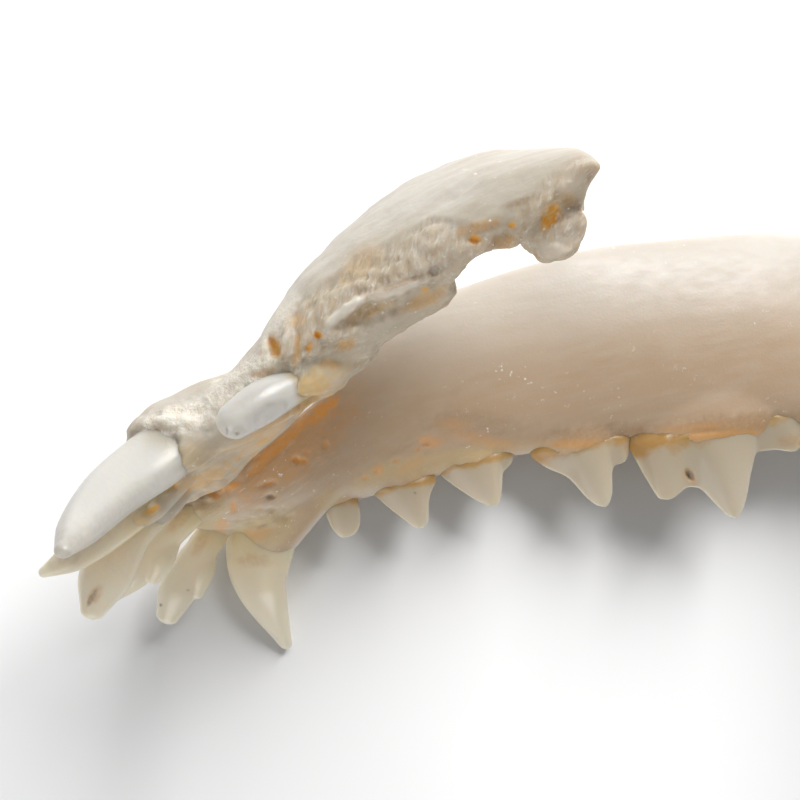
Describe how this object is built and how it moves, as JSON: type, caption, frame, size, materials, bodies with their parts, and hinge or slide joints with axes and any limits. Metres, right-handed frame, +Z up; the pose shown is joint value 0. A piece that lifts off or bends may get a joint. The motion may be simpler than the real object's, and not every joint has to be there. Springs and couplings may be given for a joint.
{
  "type": "dog lower jaw",
  "caption": "Dry lower jaw of a dog lying on its left side: the whole left half with its teeth, joined at the chin to the right half, which is broken off behind open tooth sockets.",
  "frame": {"origin": "centre of the jaw's outline, on the surface that it lies on", "axes": "+Z up from the surface, +X back along the jaw from the incisors to the hinge end, +Y towards the jaw's lower border"},
  "size_m": [0.1562, 0.0624, 0.0448],
  "materials": {
    "dry_bone": "dry bone, smooth, cream to tan",
    "weathered_bone": "dry bone, rough and pitted where it is broken",
    "enamel": "polished tooth enamel, ivory"
  },
  "bodies": {
    "root": {"mandible_left": "dry_bone", "mandible_right": "weathered_bone", "canine_left": "enamel", "canine_right": "enamel"}
  },
  "joints": []
}
